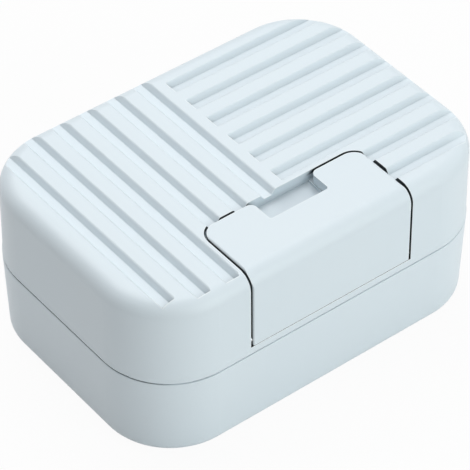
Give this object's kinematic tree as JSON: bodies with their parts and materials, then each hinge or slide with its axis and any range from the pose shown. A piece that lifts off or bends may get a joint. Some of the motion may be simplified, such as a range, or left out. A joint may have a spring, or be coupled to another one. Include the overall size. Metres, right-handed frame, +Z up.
{
  "type": "travel soap box",
  "caption": "Rectangular travel soap box with a grooved hinged lid, a front latch with finger notch and a slotted drain tray inside.",
  "frame": {"origin": "middle of the outline at the level the box stands on", "axes": "+X along the length, to the right as seen from the latch; +Z up; the latch side faces -Y and the hinges are at +Y"},
  "size_m": [0.115, 0.0862, 0.0514],
  "materials": {
    "case_plastic": "satin",
    "pin_steel": "plain"
  },
  "bodies": {
    "base": {"base_shell": "case_plastic", "hinge_pin_left": "pin_steel", "hinge_pin_right": "pin_steel"},
    "lid": {"lid_shell": "case_plastic"},
    "latch": {"front_latch": "case_plastic", "latch_pin_left": "pin_steel", "latch_pin_right": "pin_steel"},
    "tray": {"drain_tray": "case_plastic"}
  },
  "joints": [
    {"name": "lid_hinge", "type": "hinge", "parent": "base", "child": "lid", "pos_m": [0, 0.04011, 0.0252], "axis": [-1, 0, 0], "range_deg": [0, 110]},
    {"name": "latch_hinge", "type": "hinge", "parent": "lid", "child": "latch", "pos_m": [0, -0.04174, 0.02948], "axis": [1, 0, 0], "range_deg": [0, 100]},
    {"name": "tray_lift", "type": "slide", "parent": "base", "child": "tray", "axis": [0, 0, 1], "range_m": [0, 0.026]}
  ]
}
